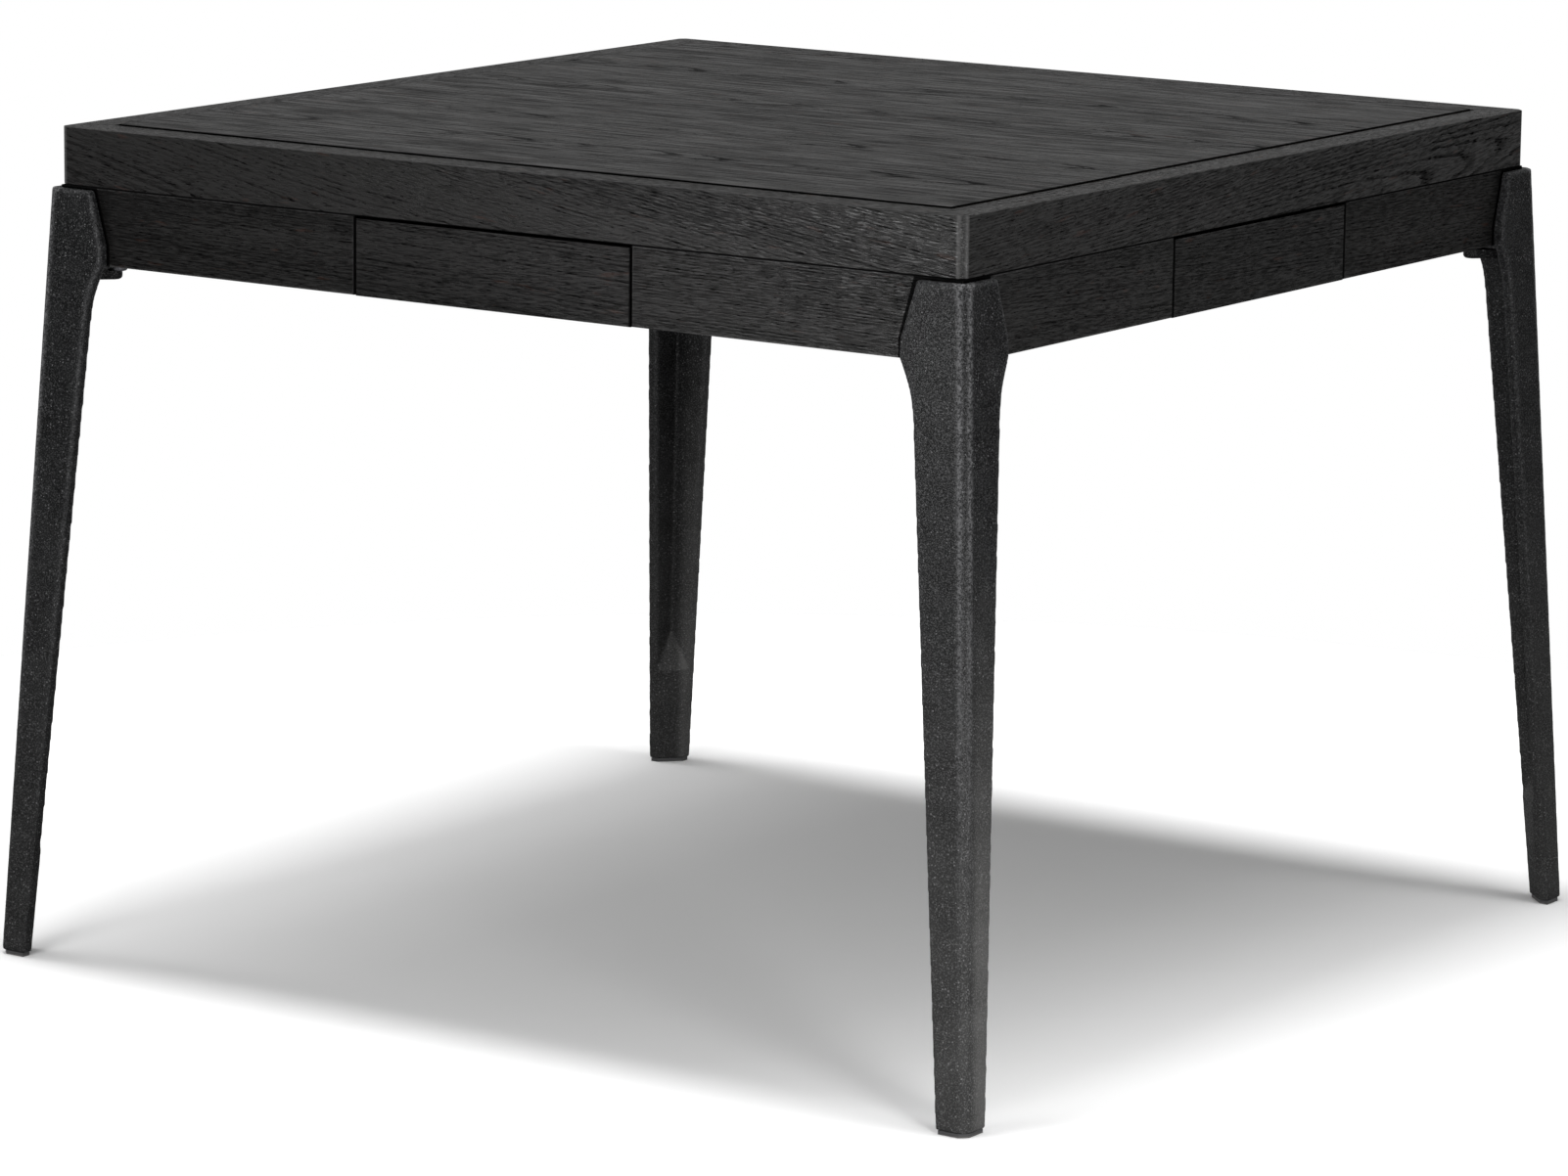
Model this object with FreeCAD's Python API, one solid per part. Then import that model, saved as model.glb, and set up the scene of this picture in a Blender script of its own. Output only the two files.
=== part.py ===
# A square game table in millimetres: a rim round a loose reversible top panel, an apron with one
# pull-out drawer in the middle of each side, and four splayed cast legs that wrap its corners.
# The origin is on the floor under the middle of the top. +Z is up and -Y is the front side.
# Left and right of a side are named as seen by someone who stands before that side.
import FreeCAD, Part
import math
import os

vector = FreeCAD.Vector

# Overall
overall_height = 762.0
rim_side = 965.0
foot_spread = 1056.0

# Rim: four mitred rails that stand on the apron
rim_width = 35.0
rim_height = 52.5
rim_corner_chamfer = 5.8
rim_edge_radius = 1.0

# Loose top panel, oak on one side and game cloth let into the other
panel_proud = 1.0
panel_gap = 2.5
panel_thickness = 18.0
panel_edge_radius = 0.6
oak_face_thickness = 1.5
cloth_border = 20.0
cloth_thickness = 1.4
cloth_clearance = 0.3

# Ledges that carry the panel round the inside of the rim
ledge_width = 12.0
ledge_height = 15.0

# Apron boards, two on each side
apron_height = 70.0
apron_thickness = 20.0
apron_setback = 0.8
apron_edge_radius = 0.8

# Drawer faces, flush in the gaps between the apron boards
drawer_face_width = 294.3
drawer_side_gap = 1.5
drawer_top_gap = 2.5
drawer_face_drop = 0.5
finger_cove_radius = 9.0
finger_cove_length = 140.0

# Drawer boxes
drawer_rear_gap = 13.85
drawer_box_lift = 7.0
drawer_box_top_gap = 8.5
drawer_wall = 12.0
drawer_floor_thickness = 4.0
drawer_floor_inset = 8.0
groove_depth = 5.0
groove_clearance = 0.2

# Telescopic slides: three nested channels of bent sheet on each wall of a drawer
slide_height = 45.5
slide_thickness = 12.7
slide_sheet = 1.2
slide_play = 0.65
slide_setback = 2.0
slide_rear_gap = 41.85

# Grid of four crossed rails that make the drawer bays
grid_rail_thickness = 18.0
grid_rail_lift = 2.5
halving_clearance = 0.1

# Angle brackets between the ends of the grid rails and the apron
bracket_arm = 28.0
bracket_sheet = 2.5
bracket_height = 40.0

# Glued blocks in the corners of the apron
corner_block_side = 62.0

# Legs: a tapered angle section with a shoulder at the apron and a solid foot
leg_proud = 8.0
leg_top_gap = 2.3
leg_wall = 11.0
leg_chamfer = 6.4
leg_edge_radius = 1.0
leg_seat_clearance = 0.3
flange_top_width = 49.0
flange_shoulder_width = 66.5
flange_knee_width = 53.0
flange_foot_width = 31.0
shoulder_rise = 1.5
shoulder_flat = 16.0
knee_drop = 48.5
solid_foot_height = 100.0
foot_facet_rise = 41.0
facet_burial_share = 0.2

# Pad under each corner of the apron, cast with the leg, and its bolt
pad_thickness = 4.0
pad_margin = 3.0
bolt_inset = 35.2
bolt_diameter = 8.0
bolt_clearance = 0.25
bolt_grip = 42.0
bolt_head_diameter = 18.0
bolt_head_height = 5.0
bolt_socket_width = 6.0
bolt_socket_depth = 3.0

# Glides under the feet
glide_thickness = 3.5
glide_inset = 2.0
glide_stem_diameter = 5.0
glide_stem_length = 12.0
glide_stem_clearance = 0.1

# How far a cutting shape runs past what it cuts, and how close counts as in a plane
overrun = 5.0
plane_tolerance = 0.001

# Levels above the floor
rim_top = overall_height - panel_proud
rim_bottom = rim_top - rim_height
panel_bottom = overall_height - panel_thickness
cloth_bottom = panel_bottom + cloth_clearance
cloth_top = cloth_bottom + cloth_thickness
ledge_bottom = panel_bottom - ledge_height
apron_bottom = rim_bottom - apron_height
drawer_face_bottom = apron_bottom - drawer_face_drop
drawer_face_top = rim_bottom - drawer_top_gap
drawer_box_bottom = drawer_face_bottom + drawer_box_lift
drawer_box_top = rim_bottom - drawer_box_top_gap
drawer_floor_bottom = drawer_box_bottom + drawer_floor_inset
drawer_floor_top = drawer_floor_bottom + drawer_floor_thickness
slide_middle = (drawer_box_bottom + drawer_box_top) / 2
grid_rail_bottom = apron_bottom + grid_rail_lift
grid_rail_middle = (grid_rail_bottom + panel_bottom) / 2
leg_top = rim_bottom - leg_top_gap
leg_bottom = glide_thickness
knee_level = apron_bottom - knee_drop
pad_bottom = apron_bottom - pad_thickness

# Distances from the middle of the table, the same towards all four sides
rim_face = rim_side / 2
rim_inner_face = rim_face - rim_width
panel_half = rim_inner_face - panel_gap
cloth_recess_half = panel_half - cloth_border
ledge_inner_face = rim_inner_face - ledge_width
apron_face = rim_face - apron_setback
apron_inner_face = apron_face - apron_thickness
drawer_face_half = drawer_face_width / 2
apron_end = drawer_face_half + drawer_side_gap
bay_half = apron_end + slide_sheet
grid_rail_outer = bay_half + grid_rail_thickness
drawer_box_half = bay_half - slide_thickness
drawer_rear = -grid_rail_outer - drawer_rear_gap
slide_front = slide_setback - apron_inner_face
slide_rear = -grid_rail_outer - slide_rear_gap
leg_seat = apron_face + leg_seat_clearance
bolt_place = apron_face - bolt_inset
pad_inner = bolt_place - bolt_head_diameter / 2 - pad_margin

# Each side, and each corner, is a quarter turn further round than the one before it
side_names = ["front", "right", "back", "left"]
corner_names = ["back_right", "back_left", "front_left", "front_right"]
across = vector(1, 0, 0)
inwards = vector(0, 1, 0)
up = vector(0, 0, 1)


def block(x_low, x_high, y_low, y_high, z_low, z_high):
    corner = vector(x_low, y_low, z_low)
    return Part.makeBox(x_high - x_low, y_high - y_low, z_high - z_low, corner)


def square_block(half, z_low, z_high):
    return block(-half, half, -half, half, z_low, z_high)


def polygon_face(points):
    return Part.Face(Part.makePolygon(points + points[:1]))


def faceted_solid(outlines):
    shell = Part.makeShell([polygon_face(points) for points in outlines])
    solid = Part.makeSolid(shell)
    if solid.Volume < 0:
        solid.reverse()
    return solid


def quarter_turned(shape, turns):
    turned = shape.copy()
    turned.rotate(vector(0, 0, 0), up, 90 * turns)
    return turned


def both_sides(shape):
    return [shape, shape.mirror(vector(0, 0, 0), across)]


def is_upright(edge):
    return edge.BoundBox.XLength + edge.BoundBox.YLength < plane_tolerance


def lies_in_plane(edge, direction, distance):
    ends = [vertex.Point.dot(direction) for vertex in edge.Vertexes]
    ends.append(edge.CenterOfMass.dot(direction))
    return all(abs(end - distance) < plane_tolerance for end in ends)


def softened(solid, radius, wanted):
    return solid.makeFillet(radius, [edge for edge in solid.Edges if wanted(edge)])


def save(name, shape):
    shape.exportStep("parts/" + name + ".step")


def save_group(name, solids):
    save(name, Part.makeCompound(solids))


# A wedge that keeps the front quarter of a square ring, up to the mitres
def front_wedge():
    reach = 2 * rim_face
    points = [vector(0, 0, 0), vector(-reach, -reach, 0), vector(reach, -reach, 0)]
    return polygon_face(points).extrude(up * overall_height)


# Rim

def rim_rails():
    ring = square_block(rim_face, rim_bottom, rim_top)
    ring = ring.makeChamfer(rim_corner_chamfer, [edge for edge in ring.Edges if is_upright(edge)])
    ring = ring.makeFillet(rim_edge_radius, ring.Edges)
    ring = ring.cut(square_block(rim_inner_face, rim_bottom - overrun, rim_top + overrun))
    for turns, side in enumerate(side_names):
        save("rim_rail_" + side, ring.common(quarter_turned(front_wedge(), turns)))


# Ledges under the panel

def panel_ledges():
    ring = square_block(rim_inner_face, ledge_bottom, panel_bottom)
    ring = ring.cut(square_block(ledge_inner_face, ledge_bottom - overrun, panel_bottom + overrun))
    save_group("panel_ledges", [ring.common(quarter_turned(front_wedge(), turns))
                                for turns, side in enumerate(side_names)])


# Top panel

def panel_core():
    board = square_block(panel_half, panel_bottom, overall_height - oak_face_thickness)
    recess = square_block(cloth_recess_half, panel_bottom - overrun, cloth_top + cloth_clearance)
    save("panel_core", board.cut(recess))


def panel_oak_face():
    sheet = square_block(panel_half, overall_height - oak_face_thickness, overall_height)
    sheet = softened(sheet, panel_edge_radius, lambda edge: lies_in_plane(edge, up, overall_height))
    save("panel_oak_face", sheet)


def panel_game_cloth():
    save("panel_game_cloth", square_block(cloth_recess_half - cloth_clearance, cloth_bottom, cloth_top))


# Apron

def is_apron_show_edge(edge):
    at_corner = abs(edge.CenterOfMass.x) > apron_face - plane_tolerance
    return lies_in_plane(edge, inwards, -apron_face) and not at_corner


def apron_boards():
    ring = square_block(apron_face, apron_bottom, rim_bottom)
    ring = ring.cut(square_block(apron_inner_face, apron_bottom - overrun, rim_bottom + overrun))
    right_part = block(apron_end, rim_face, -rim_face, 0, apron_bottom, rim_bottom)
    board = ring.common(front_wedge()).common(right_part)
    board = softened(board, apron_edge_radius, is_apron_show_edge)
    right_board, left_board = both_sides(board)
    for turns, side in enumerate(side_names):
        save("apron_" + side + "_left", quarter_turned(left_board, turns))
        save("apron_" + side + "_right", quarter_turned(right_board, turns))


def corner_blocks():
    inner = apron_inner_face
    points = [vector(inner, inner, apron_bottom),
              vector(inner - corner_block_side, inner, apron_bottom),
              vector(inner, inner - corner_block_side, apron_bottom)]
    wedge = polygon_face(points).extrude(up * apron_height)
    hole_radius = bolt_diameter / 2 + bolt_clearance
    hole_depth = bolt_grip + bolt_clearance
    hole_start = vector(bolt_place, bolt_place, apron_bottom - overrun)
    drilled = wedge.cut(Part.makeCylinder(hole_radius, overrun + hole_depth, hole_start))
    save_group("corner_blocks", [quarter_turned(drilled, turns)
                                 for turns, corner in enumerate(corner_names)])


# Grid

def grid_rail(notch_low, notch_high):
    rail = block(-apron_inner_face, apron_inner_face, -grid_rail_outer, -bay_half,
                 grid_rail_bottom, panel_bottom)
    end_notch = block(ledge_inner_face, rim_face, -rim_face, 0, rim_bottom, panel_bottom + overrun)
    halving = block(bay_half - halving_clearance, grid_rail_outer + halving_clearance,
                    -rim_face, 0, notch_low, notch_high)
    for cutter in both_sides(end_notch) + both_sides(halving):
        rail = rail.cut(cutter)
    return rail


def grid_rails():
    notched_above = grid_rail(grid_rail_middle, panel_bottom + overrun)
    notched_below = grid_rail(grid_rail_bottom - overrun, grid_rail_middle)
    for turns, side in enumerate(side_names):
        rail = notched_above if turns % 2 == 0 else notched_below
        save("grid_rail_" + side, quarter_turned(rail, turns))


def grid_brackets():
    low = slide_middle - bracket_height / 2
    high = slide_middle + bracket_height / 2
    end = -apron_inner_face
    on_rail = block(grid_rail_outer, grid_rail_outer + bracket_sheet, end, end + bracket_arm, low, high)
    on_apron = block(grid_rail_outer, grid_rail_outer + bracket_arm, end, end + bracket_sheet, low, high)
    bracket = on_rail.fuse(on_apron).removeSplitter()
    save_group("grid_brackets", [quarter_turned(one, turns) for turns, side in enumerate(side_names)
                                 for one in both_sides(bracket)])


# Drawers

def drawer_face():
    face = block(-drawer_face_half, drawer_face_half, -apron_face, -apron_inner_face,
                 drawer_face_bottom, drawer_face_top)
    cove = Part.makeCylinder(finger_cove_radius, finger_cove_length,
                             vector(-finger_cove_length / 2, -apron_inner_face, drawer_face_bottom), across)
    groove_half = drawer_box_half - drawer_wall + groove_depth
    groove = block(-groove_half, groove_half,
                   -apron_inner_face - groove_depth, -apron_inner_face + overrun,
                   drawer_floor_bottom, drawer_floor_top + groove_clearance)
    face = softened(face, apron_edge_radius, lambda edge: lies_in_plane(edge, inwards, -apron_face))
    return face.cut(cove).cut(groove)


def drawer_wall_right():
    wall_inner = drawer_box_half - drawer_wall
    wall = block(wall_inner, drawer_box_half, -apron_inner_face, drawer_rear,
                 drawer_box_bottom, drawer_box_top)
    groove = block(wall_inner - overrun, wall_inner + groove_depth, -apron_inner_face - overrun,
                   drawer_rear + overrun, drawer_floor_bottom, drawer_floor_top + groove_clearance)
    return wall.cut(groove)


def drawer_rear_board():
    half = drawer_box_half - drawer_wall
    return block(-half, half, drawer_rear - drawer_wall, drawer_rear,
                 drawer_floor_top + groove_clearance, drawer_box_top)


def drawer_floor():
    tongue = groove_depth - groove_clearance
    half = drawer_box_half - drawer_wall + tongue
    return block(-half, half, -apron_inner_face - tongue, drawer_rear,
                 drawer_floor_bottom, drawer_floor_top)


def drawers():
    wall_right, wall_left = both_sides(drawer_wall_right())
    pieces = {"face": drawer_face(), "wall_left": wall_left, "wall_right": wall_right,
              "rear_board": drawer_rear_board(), "floor": drawer_floor()}
    for turns, side in enumerate(side_names):
        for piece, shape in pieces.items():
            save("drawer_" + side + "_" + piece, quarter_turned(shape, turns))


# Slides. Depth counts from the grid rail's face towards the drawer

def slide_channel(web_depth, lip_depth, half_height):
    shallow, deep = sorted([web_depth, lip_depth])
    low, high = slide_middle - half_height, slide_middle + half_height
    bar = block(bay_half - deep, bay_half - shallow, slide_front, slide_rear, low, high)
    if lip_depth > web_depth:
        hollow_shallow, hollow_deep = web_depth + slide_sheet, lip_depth + overrun
    else:
        hollow_shallow, hollow_deep = lip_depth - overrun, web_depth - slide_sheet
    hollow = block(bay_half - hollow_deep, bay_half - hollow_shallow, slide_front - overrun,
                   slide_rear + overrun, low + slide_sheet, high - slide_sheet)
    return bar.cut(hollow)


def slides():
    step = slide_sheet + slide_play
    half = slide_height / 2
    members = {"outer": slide_channel(0, slide_thickness - 2 * step, half),
               "middle": slide_channel(step, slide_thickness - step, half - step),
               "inner": slide_channel(slide_thickness, 2 * step, half - 2 * step)}
    for turns, side in enumerate(side_names):
        for member, shape in members.items():
            save_group("slide_" + side + "_" + member,
                       [quarter_turned(one, turns) for one in both_sides(shape)])


# Legs, modelled in the back right corner. Both outer faces lean in towards the top

def leg_face(level):
    foot_face = foot_spread / 2
    lean = (foot_face - rim_face - leg_proud) / leg_top
    return foot_face - lean * level


def flange_edge(width, level):
    return vector(0, leg_face(level) - width, level)


# The arc from start to end that leaves start along a direction
def tangent_arc(start, end, direction):
    chord = end - start
    normal = chord - direction * chord.dot(direction)
    normal.normalize()
    radius = chord.dot(chord) / (2 * chord.dot(normal))
    centre = start + normal * radius
    half_way = (start - centre) + (end - centre)
    half_way.normalize()
    return Part.Arc(start, centre + half_way * radius, end).toShape()


def flange_outline():
    foot = flange_edge(flange_foot_width, leg_bottom)
    knee = flange_edge(flange_knee_width, knee_level)
    shoulder = flange_edge(flange_shoulder_width, apron_bottom + shoulder_rise)
    shoulder_end = shoulder + up * shoulder_flat
    corners = [shoulder, shoulder_end, flange_edge(flange_top_width, leg_top),
               flange_edge(0, leg_top), flange_edge(0, leg_bottom), foot, knee]
    taper = knee - foot
    taper.normalize()
    edges = [Part.makeLine(one, other) for one, other in zip(corners, corners[1:])]
    edges.append(tangent_arc(knee, shoulder, taper))
    return Part.Wire(edges)


def flange():
    plate = Part.Face(flange_outline()).extrude(across * foot_spread)
    profile = [vector(leg_face(leg_bottom), 0, leg_bottom),
               vector(leg_face(leg_top), 0, leg_top),
               vector(leg_seat, 0, leg_top),
               vector(leg_seat, 0, apron_bottom),
               vector(leg_face(apron_bottom) - leg_wall, 0, apron_bottom),
               vector(leg_face(leg_bottom) - leg_wall, 0, leg_bottom)]
    return plate.common(polygon_face(profile).extrude(inwards * foot_spread))


def flange_width_at(level):
    share = (level - leg_bottom) / (knee_level - leg_bottom)
    return flange_foot_width + share * (flange_knee_width - flange_foot_width)


# The filling between the flanges of the foot, its outer sides buried in the walls
def foot_filling_outline(level):
    inner = leg_face(level) - flange_width_at(level)
    crease = leg_face(level) - leg_wall
    buried = crease + leg_wall / 2
    return [vector(crease, inner, level), vector(buried, inner, level), vector(buried, buried, level),
            vector(inner, buried, level), vector(inner, crease, level)]


def solid_foot():
    low = foot_filling_outline(leg_bottom)
    high = foot_filling_outline(solid_foot_height)
    pairs = list(zip(low, high))
    sides = [[a, b, d, c] for (a, c), (b, d) in zip(pairs, pairs[1:] + pairs[:1])]
    return faceted_solid([low, high] + sides)


# The facet over the solid foot climbs to the crease between the flanges and on into the wall
def foot_facet():
    base = foot_filling_outline(solid_foot_height)
    apex_level = solid_foot_height + foot_facet_rise
    crease = leg_face(apex_level) - leg_wall
    apex = vector(crease, crease, apex_level)
    start = (base[0] + base[-1]) / 2
    buried_apex = apex + (apex - start) * facet_burial_share
    sides = [[one, other, buried_apex] for one, other in zip(base, base[1:] + base[:1])]
    return faceted_solid([base] + sides)


def corner_pad():
    outer = leg_face(pad_bottom) - leg_wall / 2
    nose = bolt_place - pad_inner
    tip = bolt_place - nose * math.sqrt(0.5)
    ends = [vector(bolt_place, pad_inner, pad_bottom), vector(pad_inner, bolt_place, pad_bottom)]
    corners = [ends[0], vector(outer, pad_inner, pad_bottom), vector(outer, outer, pad_bottom),
               vector(pad_inner, outer, pad_bottom), ends[1]]
    edges = [Part.makeLine(one, other) for one, other in zip(corners, corners[1:])]
    edges.append(Part.Arc(ends[1], vector(tip, tip, pad_bottom), ends[0]).toShape())
    return Part.Face(Part.Wire(edges)).extrude(up * pad_thickness)


def glide_place():
    level = leg_bottom
    filling_face = leg_face(level) - (leg_wall + flange_foot_width) / 2
    chamfer_face = leg_face(level) - leg_chamfer / 2
    return (filling_face + chamfer_face) / 2


def on_outer_face(edge):
    points = [vertex.Point for vertex in edge.Vertexes] + [edge.CenterOfMass]
    for pick in (lambda point: point.x, lambda point: point.y):
        if all(abs(pick(point) - leg_face(point.z)) < plane_tolerance for point in points):
            return True
    return False


def is_outer_corner(edge):
    points = [vertex.Point for vertex in edge.Vertexes]
    return all(abs(point.x - point.y) < plane_tolerance for point in points) and on_outer_face(edge)


def leg():
    one_flange = flange()
    other_flange = one_flange.mirror(vector(0, 0, 0), across - inwards)
    body = one_flange.fuse([other_flange, solid_foot(), foot_facet(), corner_pad()]).removeSplitter()
    outer_corners = [edge for edge in body.Edges if is_outer_corner(edge)]
    body = body.makeChamfer(leg_chamfer, outer_corners)
    body = softened(body, leg_edge_radius, on_outer_face)
    bolt_hole = Part.makeCylinder(bolt_diameter / 2 + bolt_clearance, pad_thickness + 2 * overrun,
                                  vector(bolt_place, bolt_place, pad_bottom - overrun))
    stem_hole = Part.makeCylinder(glide_stem_diameter / 2 + glide_stem_clearance,
                                  overrun + glide_stem_length + glide_stem_clearance,
                                  vector(glide_place(), glide_place(), leg_bottom - overrun))
    return body.cut(bolt_hole).cut(stem_hole)


def legs():
    one_leg = leg()
    for turns, corner in enumerate(corner_names):
        save("leg_" + corner, quarter_turned(one_leg, turns))


def leg_bolts():
    middle = vector(bolt_place, bolt_place, pad_bottom)
    shank = Part.makeCylinder(bolt_diameter / 2, pad_thickness + bolt_grip, middle)
    head = Part.makeCylinder(bolt_head_diameter / 2, bolt_head_height, middle - up * bolt_head_height)
    rounding = min(bolt_head_height / 2, bolt_head_diameter / 6)
    head = softened(head, rounding, lambda edge: lies_in_plane(edge, up, pad_bottom - bolt_head_height))
    socket_radius = bolt_socket_width / math.sqrt(3)
    corners = [middle - up * (bolt_head_height + overrun)
               + vector(math.cos(turn), math.sin(turn), 0) * socket_radius
               for turn in (math.radians(60 * step) for step in range(6))]
    socket = polygon_face(corners).extrude(up * (overrun + bolt_socket_depth))
    bolt = head.fuse(shank).removeSplitter().cut(socket)
    save_group("leg_bolts", [quarter_turned(bolt, turns) for turns, corner in enumerate(corner_names)])


# A glide keeps the outline of the foot, set in all round
def foot_glides():
    level = leg_bottom
    outer = leg_face(level) - glide_inset
    inner = leg_face(level) - flange_foot_width + glide_inset
    diagonal = 2 * leg_face(level) - leg_wall - flange_foot_width + glide_inset * math.sqrt(2)
    corner = outer - leg_chamfer
    points = [vector(outer, inner, 0), vector(outer, corner, 0), vector(corner, outer, 0),
              vector(inner, outer, 0), vector(inner, diagonal - inner, 0), vector(diagonal - inner, inner, 0)]
    disc = polygon_face(points).extrude(up * glide_thickness)
    stem = Part.makeCylinder(glide_stem_diameter / 2, glide_stem_length,
                             vector(glide_place(), glide_place(), glide_thickness))
    glide = disc.fuse(stem)
    save_group("foot_glides", [quarter_turned(glide, turns)
                               for turns, corner in enumerate(corner_names)])


os.makedirs("parts", exist_ok=True)
rim_rails()
panel_ledges()
panel_core()
panel_oak_face()
panel_game_cloth()
apron_boards()
corner_blocks()
grid_rails()
grid_brackets()
drawers()
slides()
legs()
leg_bolts()
foot_glides()
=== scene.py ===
import math
import random
from functools import partial

import bpy
import numpy as np
from mathutils import Matrix, Vector


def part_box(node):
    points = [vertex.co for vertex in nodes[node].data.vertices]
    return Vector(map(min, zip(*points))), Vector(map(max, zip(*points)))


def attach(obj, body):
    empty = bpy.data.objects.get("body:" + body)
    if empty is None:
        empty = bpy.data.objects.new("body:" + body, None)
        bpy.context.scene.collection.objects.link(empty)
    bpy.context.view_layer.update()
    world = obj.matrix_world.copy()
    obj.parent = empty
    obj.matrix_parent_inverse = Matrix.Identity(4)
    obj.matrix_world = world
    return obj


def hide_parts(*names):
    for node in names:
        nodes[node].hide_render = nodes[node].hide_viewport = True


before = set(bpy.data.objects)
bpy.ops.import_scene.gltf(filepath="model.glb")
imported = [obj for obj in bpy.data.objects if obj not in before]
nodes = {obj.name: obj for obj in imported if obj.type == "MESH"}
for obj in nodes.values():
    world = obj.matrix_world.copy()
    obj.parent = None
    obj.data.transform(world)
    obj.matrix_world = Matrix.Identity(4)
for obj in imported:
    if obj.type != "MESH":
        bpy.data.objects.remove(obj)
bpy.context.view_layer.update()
sideNames = ["front", "right", "back", "left"]  # each a quarter turn after the one before it
cornerNames = ["back_right", "back_left", "front_left", "front_right"]
chance = random.Random(36)
print("frame loaded:", len(nodes), "nodes")


# The photograph's camera, found from the table's own corners and edges. Its turns are in degrees
cameraValues = {
    "place": (3.3220, -4.9004, 1.4648), "yaw": 34.296, "pitch": 10.925, "roll": -0.646,
    "focalPixels": 6638.4, "imageWidth": 1602, "sensorWidth": 36.0, "farthest": 200,
}


def placeCamera():
    turns = [(cameraValues["yaw"], "Z"), (90 - cameraValues["pitch"], "X"), (-cameraValues["roll"], "Z")]
    pose = Matrix.Translation(cameraValues["place"])
    for degrees, axis in turns:
        pose = pose @ Matrix.Rotation(math.radians(degrees), 4, axis)
    bpy.ops.object.camera_add()
    camera = bpy.context.object
    camera.name = "camera"
    camera.matrix_world = pose
    camera.data.sensor_width = cameraValues["sensorWidth"]
    camera.data.lens = cameraValues["focalPixels"] * cameraValues["sensorWidth"] / cameraValues["imageWidth"]
    camera.data.clip_end = cameraValues["farthest"]
    bpy.context.scene.camera = camera


placeCamera()
bpy.context.scene.view_settings.view_transform = "Standard"
print("camera placed")


# Helpers for node trees, which add to the tree that was begun last. A value may be a number, a colour or
# another node's socket. A range is low, high, new low, new high; a scale is in cells per metre
work = {}


def addNode(kind, inputs=None, **settings):
    tree = work["tree"]
    node = tree.nodes.new("ShaderNode" + kind)
    for name, value in settings.items():
        setattr(node, name, value)
    for name, value in (inputs or {}).items():
        if isinstance(value, bpy.types.NodeSocket):
            tree.links.new(value, node.inputs[name])
        else:
            node.inputs[name].default_value = value
    return node


def maths(operation, *values):
    return addNode("Math", dict(enumerate(values)), operation=operation).outputs[0]


times, plus, minus = (partial(maths, kind) for kind in ("MULTIPLY", "ADD", "SUBTRACT"))
least, most, absolute = (partial(maths, kind) for kind in ("MINIMUM", "MAXIMUM", "ABSOLUTE"))
timesPlus, above = (partial(maths, kind) for kind in ("MULTIPLY_ADD", "GREATER_THAN"))


def centred(value):
    return minus(value, 0.5)


def vectorMaths(operation, *values):
    return addNode("VectorMath", dict(enumerate(values)), operation=operation).outputs[0]


def splitXyz(vector):
    return addNode("SeparateXYZ", {0: vector}).outputs


def joinXyz(x=0.0, y=0.0, z=0.0):
    return addNode("CombineXYZ", {0: x, 1: y, 2: z}).outputs[0]


def smoothRange(value, low, high, newLow=0.0, newHigh=1.0):
    inputs = {"Value": value, "From Min": low, "From Max": high, "To Min": newLow, "To Max": newHigh}
    return addNode("MapRange", inputs, interpolation_type="SMOOTHSTEP").outputs["Result"]


def evenRange(value, newLow, newHigh):
    inputs = {"Value": value, "To Min": newLow, "To Max": newHigh}
    return addNode("MapRange", inputs).outputs["Result"]


def mixColours(share, first, second):
    colours = [tuple(c) + (1.0,) if isinstance(c, tuple) and len(c) == 3 else c for c in (first, second)]
    return addNode("Mix", {0: share, 6: colours[0], 7: colours[1]}, data_type="RGBA").outputs[2]


def mixVectors(share, first, second):
    return addNode("Mix", {0: share, 4: first, 5: second}, data_type="VECTOR").outputs[1]


def stretched(place, scale):
    return vectorMaths("MULTIPLY", place, (scale,) * 3 if isinstance(scale, float) else scale)


def noise(place, scale, detail=2.0, roughness=0.5):
    place = stretched(place, scale)
    inputs = {"Vector": place, "Scale": 1.0, "Detail": detail, "Roughness": roughness}
    return addNode("TexNoise", inputs).outputs[0]


def cells(place, scale):
    place = stretched(place, scale)
    return addNode("TexVoronoi", {"Vector": place, "Scale": 1.0}).outputs


def newGroup(name, inputs):
    group = bpy.data.node_groups.new(name, "ShaderNodeTree")
    work["tree"] = group
    for socketName in inputs:
        kind = "Vector" if socketName in ("Vector", "Box Low", "Box High") else "Float"
        group.interface.new_socket(socketName, in_out="INPUT", socket_type="NodeSocket" + kind)
    return group.nodes.new("NodeGroupInput").outputs


def finishGroup(results):
    group = work["tree"]
    for name in results:
        group.interface.new_socket(name, in_out="OUTPUT", socket_type="NodeSocketFloat")
    made = group.nodes.new("NodeGroupOutput").inputs
    for name, value in results.items():
        group.links.new(value, made[name])
    return group


def useGroup(group, inputs):
    return addNode("Group", inputs, node_tree=group).outputs


def beginTree(owner):
    owner.use_nodes = True
    owner.node_tree.nodes.clear()
    work["tree"] = owner.node_tree
    return owner


def newMaterial(name):
    return beginTree(bpy.data.materials.new(name))


def finishMaterial(material, inputs):
    addNode("OutputMaterial", {"Surface": addNode("BsdfPrincipled", inputs).outputs[0]})
    return material


def objectPlace():
    return addNode("TexCoord").outputs["Object"]


def bumpFrom(height, distance, strength):
    inputs = {"Height": height, "Distance": distance, "Strength": strength}
    return addNode("Bump", inputs).outputs["Normal"]


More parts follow.
